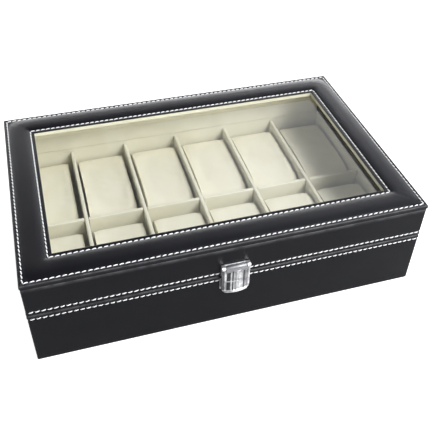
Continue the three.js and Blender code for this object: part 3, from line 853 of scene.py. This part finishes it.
def make_border():
    board_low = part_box("lid_top_frame")[0].z - 0.04 * MM
    seat = lid_wall_top + 0.03 * MM
    under = BOARD_TOP + 0.3 * MM
    edge_z = PANEL_TOP
    corners = [
        (0, PANEL_UNDER), (EDGE_GAP, PANEL_UNDER), (EDGE_GAP, seat), (TURN_UNDER, seat),
        (TURN_UNDER, board_low), (LEATHER, board_low), (LEATHER, under), (BORDER_X, under),
        (BORDER_X, edge_z), (0, edge_z),
    ]
    radii = np.array([0.45, 0.05, 0.05, 0.02, 0.02, 0.02, 0, 0.15, 0.34, 0.9]) * MM

    def step_at(middle):
        return 0.42 * MM if middle[1] > edge_z - 0.1 * MM else 5 * MM

    outline = divide(round_corners(corners, radii), step_at)
    t = outline[:, 0]
    section = np.stack([t, t * BORDER_Y / BORDER_X, outline[:, 1]], -1)
    stations = ring_path(2 * PANEL_X, 2 * PANEL_Y, STATION_STEP)
    points = carry_round(section, PANEL_X, PANEL_Y, PANEL_RADIUS, stations)
    on_top = np.clip((outline[:, 1] - (edge_z - 0.5 * MM)) / (0.5 * MM), 0, 1)[:, None]
    in_x = PANEL_X - np.abs(points[..., 0])
    in_y = (PANEL_Y - np.abs(points[..., 1])) * BORDER_X / BORDER_Y
    rise = edge_height(t)[:, None] + crown_height(in_x, in_y) + corner_folds(in_x, in_y, t[:, None])
    for row in (OUTER_ROW, INNER_ROW):
        length_x = 2 * (PANEL_X - row)
        length_y = 2 * (PANEL_Y - row * BORDER_Y / BORDER_X)
        dips = hole_dips(points, stations, length_x, length_y)
        rise = rise - DIP_DEPTH * dips * bell(t - row, 1.3 * MM)[:, None]
    points[..., 2] += on_top * rise
    piece = put_mesh("lid_padded_border", points, grid_faces(*points.shape[:2], True, True))
    # The panel's rounded outer edge is marked paler: rubbed wear and a painted highlight on the rounding.
    wear_and_painted_highlight = (bell(t - 0.3 * MM, 0.5 * MM) * bell(outline[:, 1] - edge_z + 0.3 * MM, 0.6 * MM))[:, None]
    mark_wear_and_painted_light(piece, np.broadcast_to(wear_and_painted_highlight, points.shape[:2]))
    finish_piece(piece, leather, "lid", ["lid_top_leather"])
    return piece


make_border()

# %% [markdown]
# ## Thread
#
# A stitch is a short length of thread that dives into a hole at each end, and in a row of lock
# stitch every stitch lies at a slight slant. One small stitch is drawn as a bent tapered tube and
# copied along each side as arrays. Each row is one piece.

# %% Stitches
STITCH_RINGS, STITCH_SIDES = 7, 6
STITCH_SLANT = np.radians(10.0)
luck = np.random.default_rng(12)


def one_stitch():
    """A tube along X: radius and height follow a half wave, so both ends sink into the leather."""
    t = np.linspace(-1, 1, STITCH_RINGS)
    round_t = np.linspace(0, 2 * np.pi, STITCH_SIDES, endpoint=False)
    radius = THREAD_RADIUS * (1 - 0.75 * np.abs(t) ** 4)
    lift = THREAD_RADIUS * (0.7 - 1.6 * np.abs(t) ** 5)
    x = np.broadcast_to((t * STITCH_LENGTH / 2)[:, None], (STITCH_RINGS, STITCH_SIDES))
    y = radius[:, None] * np.cos(round_t)
    z = lift[:, None] + radius[:, None] * np.sin(round_t)
    faces = grid_faces(STITCH_RINGS, STITCH_SIDES, wrap_columns=True)
    last = (STITCH_RINGS - 1) * STITCH_SIDES
    faces += [list(range(STITCH_SIDES))[::-1], [last + i for i in range(STITCH_SIDES)]]
    u = np.repeat((t + 1) / 2 * 3, STITCH_SIDES)
    v = np.tile(round_t / (2 * np.pi), STITCH_RINGS)
    return np.stack([x, y, z], -1).reshape(-1, 3), faces, np.stack([u, v], -1)


def row_places(half_x, half_y, z, on_top):
    """Centre, forward and outward direction of every stitch on the four sides of a rectangle."""
    centres, forwards, outwards = [], [], []
    for turn in range(4):
        c, s = round(np.cos(turn * np.pi / 2)), round(np.sin(turn * np.pi / 2))
        half, out = (half_y, half_x) if turn % 2 == 0 else (half_x, half_y)
        count = stitch_count(2 * half)
        along = (np.arange(count) + 0.5) * 2 * half / count - half
        centre = np.stack([c * out - s * along, s * out + c * along, np.full(count, z)], -1)
        centres.append(centre)
        forwards.append(np.tile([-s, c, 0.0], (len(centre), 1)))
        outwards.append(np.tile([0.0, 0.0, 1.0] if on_top else [c, s, 0.0], (len(centre), 1)))
    return np.concatenate(centres), np.concatenate(forwards), np.concatenate(outwards)


def sew(name, places, body):
    """Every stitch is the one drawn above, turned to its row, slanted, and very slightly uneven."""
    centres, forwards, outwards = places
    count = len(centres)
    shape, faces, uv = one_stitch()
    slant = STITCH_SLANT + np.radians(luck.normal(0, 1.3, count))
    stretch = 1 + luck.normal(0, 0.03, count)
    sideways = np.cross(outwards, forwards)
    c, s = np.cos(slant)[:, None], np.sin(slant)[:, None]
    forward = (forwards * c + sideways * s) * stretch[:, None]
    side = sideways * c - forwards * s
    points = (
        centres[:, None]
        + shape[None, :, :1] * forward[:, None]
        + shape[None, :, 1:2] * side[:, None]
        + shape[None, :, 2:] * outwards[:, None]
    )
    all_faces = [[v + i * len(shape) for v in face] for i in range(count) for face in faces]
    piece = put_mesh(name, points, all_faces)
    layer = piece.data.uv_layers.new(name="stitch")
    corners = np.zeros(len(piece.data.loops), np.int32)
    piece.data.loops.foreach_get("vertex_index", corners)
    layer.data.foreach_set("uv", uv[corners % len(shape)].astype(np.float32).ravel())
    finish_piece(piece, thread, body)
    return piece


hinge_low, hinge_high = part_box("hinge_base_leaf_right")


def under_hinge(centres):
    """True for stitches that the hinge leaves cover, which the maker leaves out."""
    x = np.abs(centres[:, 0])
    beside = (x > hinge_low.x - 2.5 * MM) & (x < hinge_high.x + 2.5 * MM)
    return beside & (centres[:, 1] > BODY_Y - 2 * MM)


wall_face_x, wall_face_y = BODY_X - CHANNEL_DEPTH, BODY_Y - CHANNEL_DEPTH


def wall_places(z):
    """A wall row lies in the bottom of its channel, and its sides are as long as the wall leather's."""
    centres, forwards, outwards = row_places(WALL_LENGTH_X / 2, WALL_LENGTH_Y / 2, z, False)
    flat = np.abs(outwards)
    centres[:, 0] = np.where(flat[:, 0] > 0.5, np.sign(centres[:, 0]) * wall_face_x, centres[:, 0])
    centres[:, 1] = np.where(flat[:, 1] > 0.5, np.sign(centres[:, 1]) * wall_face_y, centres[:, 1])
    keep = ~under_hinge(centres)
    return centres[keep], forwards[keep], outwards[keep]


def top_places(row):
    """A top row lies in the bottom of its channel, the right distance in from the panel's edge."""
    half_x, half_y = PANEL_X - row, PANEL_Y - row * BORDER_Y / BORDER_X
    return row_places(half_x, half_y, PANEL_TOP - CHANNEL_DEPTH + EDGE_BULGE * 0.1, True)


sew("base_wall_stitches", wall_places(wall_row_base), "base")
sew("lid_wall_stitches", wall_places(wall_row_lid), "lid")
sew("border_outer_stitches", top_places(OUTER_ROW), "lid")
sew("border_inner_stitches", top_places(INNER_ROW), "lid")

# %% [markdown]
# ## Pillows
#
# A pillow is a sleeve of suede round a block of soft foam, closed by a flat panel at each end. In
# side view it is a rounded oblong. The form is a grid of points: rows run across the pillow, from
# the middle of one end panel, over its seam, along the sleeve and down to the middle of the other
# end. Blender's cloth solver then blows it up from inside, which crowns the top and lets the cloth
# pull at the seams. The foam is firm, so only part of that movement is kept, and least of all
# across the pillow, where the seams stay straight. Three are simulated, and the twelve are placed
# from them.

# %% The form of a pillow
PILLOW_AROUND = 84
FRONT_SQUARENESS, BACK_SQUARENESS = 3.2, 5.5
SEAM_ROUND = 0.9 * MM
pillow_low, pillow_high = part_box("pillow_02")
PILLOW_HALF = np.array(pillow_high - pillow_low) / 2


def even_outline(half_y, half_z, count):
    """A rounded oblong (a superellipse), squarer at the back, with its points evenly spaced."""
    angle = np.linspace(0, 2 * np.pi, 1441)
    power = 2 / np.where(np.cos(angle) > 0, BACK_SQUARENESS, FRONT_SQUARENESS)
    y = half_y * np.sign(np.cos(angle)) * np.abs(np.cos(angle)) ** power
    z = half_z * np.sign(np.sin(angle)) * np.abs(np.sin(angle)) ** power
    walked = np.concatenate([[0], np.cumsum(np.hypot(np.diff(y), np.diff(z)))])
    wanted = np.linspace(0, walked[-1], count, endpoint=False)
    return np.interp(wanted, walked, y), np.interp(wanted, walked, z)


def pillow_rows(half_x):
    """For each row across the pillow, its place along X and how much of the outline it keeps."""
    panel = np.linspace(0.12, 0.86, 6)
    turn = np.linspace(0, np.pi / 2, 4)
    edge_x = half_x - SEAM_ROUND * (1 - np.cos(turn[::-1]))
    edge_in = SEAM_ROUND * (1 - np.sin(turn[::-1]))
    sleeve = np.linspace(-(half_x - SEAM_ROUND), half_x - SEAM_ROUND, 15)[1:-1]
    return panel, edge_x[::-1], edge_in[::-1], sleeve


def pillow_form(shrink):
    """Grid of the sleeve and its end panels, plus one point in the middle of each end panel."""
    half_x, half_y, half_z = PILLOW_HALF * shrink
    y, z = even_outline(half_y, half_z, PILLOW_AROUND)
    panel, edge_x, edge_in, sleeve = pillow_rows(half_x)
    keep_y, keep_z = 1 - edge_in / half_y, 1 - edge_in / half_z
    left = [(-half_x, p, p) for p in panel]
    left += [(-x, ky, kz) for x, ky, kz in zip(edge_x[::-1], keep_y[::-1], keep_z[::-1])]
    rows = left + [(x, 1, 1) for x in sleeve] + [(-x, ky, kz) for x, ky, kz in left[::-1]]
    rows = np.array(rows)
    grid = np.stack([
        np.broadcast_to(rows[:, :1], (len(rows), PILLOW_AROUND)),
        rows[:, 1:2] * y,
        rows[:, 2:3] * z,
    ], -1)
    poles = np.array([[-half_x, 0, 0], [half_x, 0, 0]])
    faces = grid_faces(len(rows), PILLOW_AROUND, wrap_columns=True)
    count, last = len(rows) * PILLOW_AROUND, (len(rows) - 1) * PILLOW_AROUND
    for i in range(PILLOW_AROUND):
        j = (i + 1) % PILLOW_AROUND
        faces += [[count, j, i], [count + 1, last + i, last + j]]
    return np.concatenate([grid.reshape(-1, 3), poles]), faces


form_points, form_faces = pillow_form(np.array([0.93, 0.975, 0.95]))
print("pillow form:", len(form_points), "points,", len(form_faces), "faces")

# %% Blow the pillows up
CLOTH_FRAMES = 20
MOST_MOVEMENT = 5 * MM
KEPT_MOVEMENT = np.array([0.15, 0.40, 0.35])  # the end seams stay straight, the top may rise
PILLOW_KINDS = 3


def read_points(mesh):
    """The mesh's points as an array with one row for each."""
    flat = np.zeros(len(mesh.vertices) * 3, np.float32)
    mesh.vertices.foreach_get("co", flat)
    return flat.reshape(-1, 3).astype(float)


def blow_up(piece):
    """Cloth with air pressure and no gravity; the points then keep their last place, within a cap."""
    rest = read_points(piece.data)
    settings = piece.modifiers.new("cloth", "CLOTH").settings
    settings.quality = 6
    settings.mass = 0.2
    settings.tension_stiffness = 15
    settings.compression_stiffness = 12
    settings.shear_stiffness = 6
    settings.bending_stiffness = 0.4
    settings.use_pressure = True
    settings.uniform_pressure_force = 4.0
    settings.effector_weights.gravity = 0.0
    for step in range(1, CLOTH_FRAMES + 1):
        scene.frame_set(step)
    shown = piece.evaluated_get(bpy.context.evaluated_depsgraph_get())
    moved = read_points(shown.data) - rest
    piece.modifiers.clear()
    scene.frame_set(1)
    length = np.linalg.norm(moved, axis=1, keepdims=True)
    moved *= np.minimum(1, MOST_MOVEMENT / np.maximum(length, 1e-9)) * KEPT_MOVEMENT
    print("blown up by", round(float(length.max()) * 1000, 2), "mm at most")
    return rest + moved


def gather(points, kind):
    """Small puckers where the sleeve is sewn to its end panels, strongest at the seam itself."""
    x, y, z = points.T
    around = np.arctan2(z / PILLOW_HALF[2], y / PILLOW_HALF[1])
    from_seam = np.abs(np.abs(x) - np.abs(x).max() * 0.96)
    wave = np.cos(23 * around + 1.7 * kind) + 0.6 * np.cos(37 * around + 2.9 * kind + 40 * x / PILLOW_HALF[0])
    depth = 0.16 * MM * wave * bell(from_seam, 4.5 * MM)
    out = points / np.maximum(np.linalg.norm(points, axis=1, keepdims=True), 1e-9)
    return points + depth[:, None] * out


def fit_box(points, half):
    """Scales the form about its middle so that it just fills its box, and flattens the underside."""
    middle = (points.max(0) + points.min(0)) / 2
    fitted = (points - middle) * half / ((points.max(0) - points.min(0)) / 2)
    fitted[:, 2] = np.maximum(fitted[:, 2], -half[2] * 0.985)
    return fitted


pillow_kinds = []
for kind in range(PILLOW_KINDS):
    uneven = np.random.default_rng(kind).normal(0, 0.06 * MM, form_points.shape)
    trial = put_mesh("pillow_trial", form_points + uneven, form_faces)
    blown = blow_up(trial)
    bpy.data.objects.remove(trial)
    pillow_kinds.append(fit_box(gather(blown, kind), PILLOW_HALF * np.array([0.995, 0.995, 0.99])))

# %% Place the twelve pillows
for number in range(1, 13):
    node = f"pillow_{number:02d}"
    low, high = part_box(node)
    flip = np.array([1 - 2 * (number % 2), 1, 1])
    points = pillow_kinds[number % PILLOW_KINDS] * flip + np.array((low + high) / 2)
    pillow = put_mesh(f"{node}_cushion", points, form_faces)
    smoother = pillow.modifiers.new("smooth", "SUBSURF")
    smoother.levels = smoother.render_levels = 1
    finish_piece(pillow, pillow_suede, node, [node])

# %% [markdown]
# ## Lining strip over the back joint
#
# A strip of lining cloth bridges the joint at the back, so that the hinge side shows no gap. On the
# real box it is glued to the base below and to the lid above, and bends between them as the lid opens.
# Here it is one thin sheet with many rows, made in its closed shape and given no bend.

# %% Back lining strip
strip_low, strip_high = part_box("back_lining_strip")
STRIP_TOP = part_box("glass_retaining_frame")[0].z - 0.3 * MM
STRIP_ROWS, STRIP_COLUMNS = 45, 60
GLUED_BACK = 5 * MM  # how far from each rim the glue starts


def make_strip():
    """Front and back faces are one grid of rows going up the front, over the top and down the back."""
    height = np.linspace(strip_low.z, STRIP_TOP, STRIP_ROWS)
    inner, outer = strip_low.y, strip_high.y
    section = np.concatenate([
        np.stack([np.full_like(height, inner), height], -1),
        np.stack([np.full_like(height, outer), height], -1)[::-1],
    ])
    columns = STRIP_COLUMNS
    across = np.linspace(strip_low.x, strip_high.x, columns)
    rows = len(section)
    points = np.stack([
        np.broadcast_to(across, (rows, columns)),
        np.broadcast_to(section[:, :1], (rows, columns)),
        np.broadcast_to(section[:, 1:], (rows, columns)),
    ], -1)
    faces = grid_faces(rows, columns, wrap_rows=True)
    for end in (0, columns - 1):
        for i in range(STRIP_ROWS - 1):
            j = rows - 1 - i
            ring = (i, i + 1, j - 1, j)
            faces.append([r * columns + end for r in ring])
    strip = put_mesh("joint_lining_strip", points, faces)
    strip.data.materials.append(lining_suede)
    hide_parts("back_lining_strip")
    end = (0, strip_low.y, lid_rim + GLUED_BACK)
    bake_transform(strip)


make_strip()

# %% [markdown]
# ## Latch flap
#
# The flap is a chrome pressing, bowed in plan, with a raised rail down each side, a double lip along
# the bottom and a plain grid of bars between, over a recess. It is drawn as one sheet: each
# point has a place across and a place up, and its distance forward is the bow plus the height of
# whichever rail or bar it is on. Each point also stores a painted tone: painted reflections make the
# crests, bars, right-hand panel and lip bright, and painted shade keeps the recess and the lip's groove dark.

# %% Flap
flap_low, flap_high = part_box("latch_flap")
LATCH_X = (flap_low.x + flap_high.x) / 2
FLAP_HALF = (flap_high.x - flap_low.x) / 2
FLAP_TOP = 57.2 * MM
FLAP_BOW = 2.4 * MM
FLAP_SHEET = 0.5 * MM
RAIL_WIDTH = 2.3 * MM
RAIL_RISE = 0.85 * MM
LIP_HEIGHT = 1.9 * MM
BAR_RISE = 0.5 * MM
flap_front = flap_low.y + 0.6 * MM


def step_up(value, edge, width):
    """0 below the edge and 1 above it, with a smooth shoulder of that width."""
    t = np.clip((value - edge) / width + 0.5, 0, 1)
    return t * t * (3 - 2 * t)


def flap_relief(x, z):
    """Rails at the sides, a grooved lip at the bottom, two upright bars and one crossbar."""
    soft = 0.4 * MM
    rails = step_up(np.abs(x), FLAP_HALF - RAIL_WIDTH, soft)
    rails = rails * (1 - 0.45 * bell(np.abs(x) - (FLAP_HALF - 0.95 * MM), 0.35 * MM))
    from_bottom = z - flap_low.z
    lip = step_up(-from_bottom, -LIP_HEIGHT, soft) * (1 - 0.6 * bell(from_bottom - 0.95 * MM, 0.25 * MM))
    head = step_up(z, FLAP_TOP - 1.4 * MM, soft)
    inner = FLAP_HALF - RAIL_WIDTH
    uprights = np.maximum(bell(x + 0.28 * inner, 0.42 * MM), bell(x + 0.02 * inner, 0.42 * MM))
    uprights = np.maximum(uprights, step_up(x, 0.18 * inner, soft) * 0.8)
    cross = bell(from_bottom - 0.5 * (FLAP_TOP - flap_low.z), 0.5 * MM)
    relief = np.maximum(RAIL_RISE * rails, BAR_RISE * np.maximum(uprights, cross))
    relief = np.maximum(relief, BAR_RISE * head)
    return np.maximum(relief, (RAIL_RISE + 0.3 * MM) * lip)


def flap_painted_light(x, z):
    """Painted reflection and shade on the pressing: rail crests, bars and the right panel are painted bright
    as reflections, the recess is painted dark as shade, and the lip is bright with painted shade in its
    groove. The places across are shares of the half width, from left to right."""
    places = [-1, -0.82, -0.79, -0.68, -0.65, -0.41, -0.39, -0.30, -0.28, -0.22, -0.20, 0.07,
              0.09, 0.46, 0.49, 0.57, 0.60, 0.90, 0.93, 1]
    levels = [0.10, 0.34, 0.95, 0.95, 0.03, 0.05, 0.90, 0.90, 0.04, 0.10, 0.50, 0.55,
              0.92, 0.95, 0.10, 0.10, 0.42, 0.50, 1.0, 1.0]
    shine = np.interp(x / FLAP_HALF, places, levels)
    from_bottom = z - flap_low.z
    half_way = 0.5 * (FLAP_TOP - flap_low.z)
    cross = bell(from_bottom - half_way, 0.5 * MM) * (x > -0.64 * FLAP_HALF) * (x < 0.08 * FLAP_HALF)
    shine = np.maximum(shine, 0.85 * cross)
    lip = step_up(-from_bottom, -LIP_HEIGHT, 0.3 * MM)
    groove = bell(from_bottom - 1.0 * MM, 0.28 * MM)
    return shine * (1 - lip) + lip * (1 - 0.75 * groove)


def make_flap():
    columns, rows = 151, 111
    across = np.linspace(-1, 1, columns)
    up = np.linspace(0, 1, rows)[:, None]
    z = flap_low.z + up * (FLAP_TOP - flap_low.z)
    corner = 3.6 * MM
    below = np.clip(1 - (z - flap_low.z) / corner, 0, 1)
    half = FLAP_HALF - corner * (1 - np.sqrt(np.clip(1 - below ** 2, 0, 1)))
    x = across * half
    z = np.broadcast_to(z, x.shape)
    radius = (FLAP_HALF ** 2 + FLAP_BOW ** 2) / (2 * FLAP_BOW)
    bow = radius - np.sqrt(radius ** 2 - x ** 2)
    relief = flap_relief(x, z)
    rim = np.clip(1 - (1 - np.abs(across)) / 0.03, 0, 1) ** 2 * 0.25 * MM
    front = flap_front + bow + RAIL_RISE - relief + rim
    rear = flap_front + bow + RAIL_RISE + FLAP_SHEET + 0 * z
    sheet = np.stack([x + LATCH_X, front, z], -1), np.stack([x + LATCH_X, rear, z], -1)
    count = rows * columns
    faces = grid_faces(rows, columns)
    faces += [[v + count for v in face][::-1] for face in grid_faces(rows, columns)]
    edge = [i for i in range(columns)] + [r * columns + columns - 1 for r in range(1, rows)]
    edge += [(rows - 1) * columns + i for i in range(columns - 2, -1, -1)]
    edge += [r * columns for r in range(rows - 2, 0, -1)]
    for a, b in zip(edge, edge[1:] + edge[:1]):
        faces.append([a, b, b + count, a + count])
    flap = put_mesh("latch_flap_front", np.concatenate([s.reshape(-1, 3) for s in sheet]), faces)
    # The painted reflection and shade go into the attribute called edge, which the flap's material reads.
    shine = np.concatenate([flap_painted_light(x, z).ravel(), np.zeros(count)])
    mark_wear_and_painted_light(flap, shine)
    finish_piece(flap, pressed_chrome_painted_light, "latch", ["latch_flap"])
    return flap


def make_pressed_chrome_painted_light():
    """Painted reflection where the pressing is marked bright, and painted shade down in its recess."""
    material, tree, shader, place = start_material("pressed_chrome_painted_light")
    # Near-black is painted shade for the recess and groove; near-white is painted reflection on crests, bars,
    # right panel and lip.
    worn_and_painted_light = use_group(
        tree,
        wear_and_painted_light_group,
        {"Place": place, "Colour": (0.012, 0.012, 0.013, 1), "Rubbed_and_painted_light": (0.97, 0.97, 0.97, 1), "Amount": 1.0},
    )
    tree.links.new(worn_and_painted_light.outputs["Colour"], shader.inputs["Base Color"])
    gloss = use_group(tree, gloss_group, {"Place": place, "Patches": 260.0, "Smooth": 0.14, "Rough": 0.30})
    tree.links.new(gloss.outputs["Roughness"], shader.inputs["Roughness"])
    set_shader(shader, Metallic=0.3)
    return material


pressed_chrome_painted_light = make_pressed_chrome_painted_light()
make_flap()

# %% [markdown]
# ### Barrel and neck
#
# The neck is a rolled satin strip: it leaves the flap's top edge, goes over the pin and ends
# behind it. Seen from its end it is a hook with the pin in its middle.

# %% Barrel
pin_low, pin_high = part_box("latch_pin")
PIN = np.array([(pin_low.y + pin_high.y) / 2, (pin_low.z + pin_high.z) / 2])
BARREL_HALF = 7.8 * MM
BARREL_RADIUS = 1.6 * MM
NECK_SOFTNESS = 0.3 * MM


def pull_along_x(name, outline, centre_x, half, rounding):
    """The outline at stations along X; the end stations draw in a little, and flat faces close them."""
    centre = outline.mean(0)
    stations = [(-half, 1 - rounding), (-half + 0.2 * MM, 1), (half - 0.2 * MM, 1), (half, 1 - rounding)]
    rows = []
    for x, keep in stations:
        ring = centre + (outline - centre) * keep
        rows.append(np.concatenate([np.full((len(ring), 1), centre_x + x), ring], 1))
    count = len(outline)
    faces = grid_faces(len(rows), count, wrap_columns=True)
    faces += [list(range(count)), [3 * count + i for i in range(count)]]
    return put_mesh(name, np.array(rows), faces)


angle = np.linspace(0, 2 * np.pi, 28, endpoint=False)
barrel_outline = PIN + BARREL_RADIUS * np.stack([np.cos(angle), np.sin(angle)], -1)
barrel = pull_along_x("latch_barrel", barrel_outline, LATCH_X, BARREL_HALF, 0.1)
finish_piece(barrel, satin_chrome, "latch")
top_y = flap_front + RAIL_RISE
neck_outline = np.array([
    [top_y + 0.1 * MM, FLAP_TOP - 1.2 * MM],
    [top_y - 0.35 * MM, FLAP_TOP - 0.5 * MM],
    [top_y - 0.1 * MM, FLAP_TOP + 0.6 * MM],
    [PIN[0] - 1.2 * MM, PIN[1] + 1.05 * MM],
    [PIN[0] + 0.2 * MM, PIN[1] + 1.4 * MM],
    [PIN[0] + 0.4 * MM, PIN[1] - 1.2 * MM],
    [top_y + 1.2 * MM, FLAP_TOP - 0.9 * MM],
])
neck_section = round_corners(neck_outline, np.full(len(neck_outline), NECK_SOFTNESS))
neck = pull_along_x("latch_neck", neck_section, LATCH_X, BARREL_HALF, 0.06)
finish_piece(neck, satin_chrome, "latch")

# %% [markdown]
# ## Finishes for the solid pieces
#
# The boards, plates, hinge leaves and screws keep the solid model's own shape. Each gets its
# material, and the ones that show get a small rounded edge: their loose triangles are welded and
# merged back into flat faces by modifiers first, so the bevel meets only true edges.

# %% Dress the solid pieces
FINISH_OF = {
    "leather": leather, "board": board, "lining_suede": lining_suede, "pillow_suede": pillow_suede,
    "felt": felt, "glass": glass, "chrome": chrome,
}
OWN_FINISH = {
    "window_reveal_lining": reveal_suede_painted_shade,
    "latch_plate": bright_chrome,
    "lid_top_frame": leather,  # the leather turns under the frame at the window
}


def slot_by_name(name):
    """The finish that a solid piece is made in, from the kind of piece it is."""
    if "hinge" in name or "latch" in name or "catch" in name:
        return "chrome"
    if name == "glass_pane":
        return "glass"
    if "felt" in name:
        return "felt"
    if name.startswith("pillow"):
        return "pillow_suede"
    if "leather" in name:
        return "leather"
    if name.startswith("tray") or "divider" in name or "lining" in name or name == "glass_retaining_frame":
        return "lining_suede"
    return "board"


EDGE_WIDTH = {"divider": 0.9, "tray": 0.35, "retaining": 0.6, "hinge": 0.18, "latch": 0.2, "catch": 0.2}


def ease_edges(piece, width):
    """Weld the loose triangles, merge the flat ones, then round the edges that are left."""
    weld = piece.modifiers.new("weld", "WELD")
    weld.merge_threshold = 1e-6
    flatten = piece.modifiers.new("flatten", "DECIMATE")
    flatten.decimate_type = "DISSOLVE"
    flatten.angle_limit = np.radians(1.0)
    bevel = piece.modifiers.new("ease", "BEVEL")
    bevel.width = width
    bevel.segments = 3
    bevel.limit_method = "ANGLE"
    bevel.angle_limit = np.radians(40)


for name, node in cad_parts.items():
    if node.hide_render:
        continue
    material = OWN_FINISH.get(name, FINISH_OF[slot_by_name(name)])
    node.data.materials.clear()
    node.data.materials.append(material)
    for word, width in EDGE_WIDTH.items():
        if word in name:
            ease_edges(node, width * MM)
            break
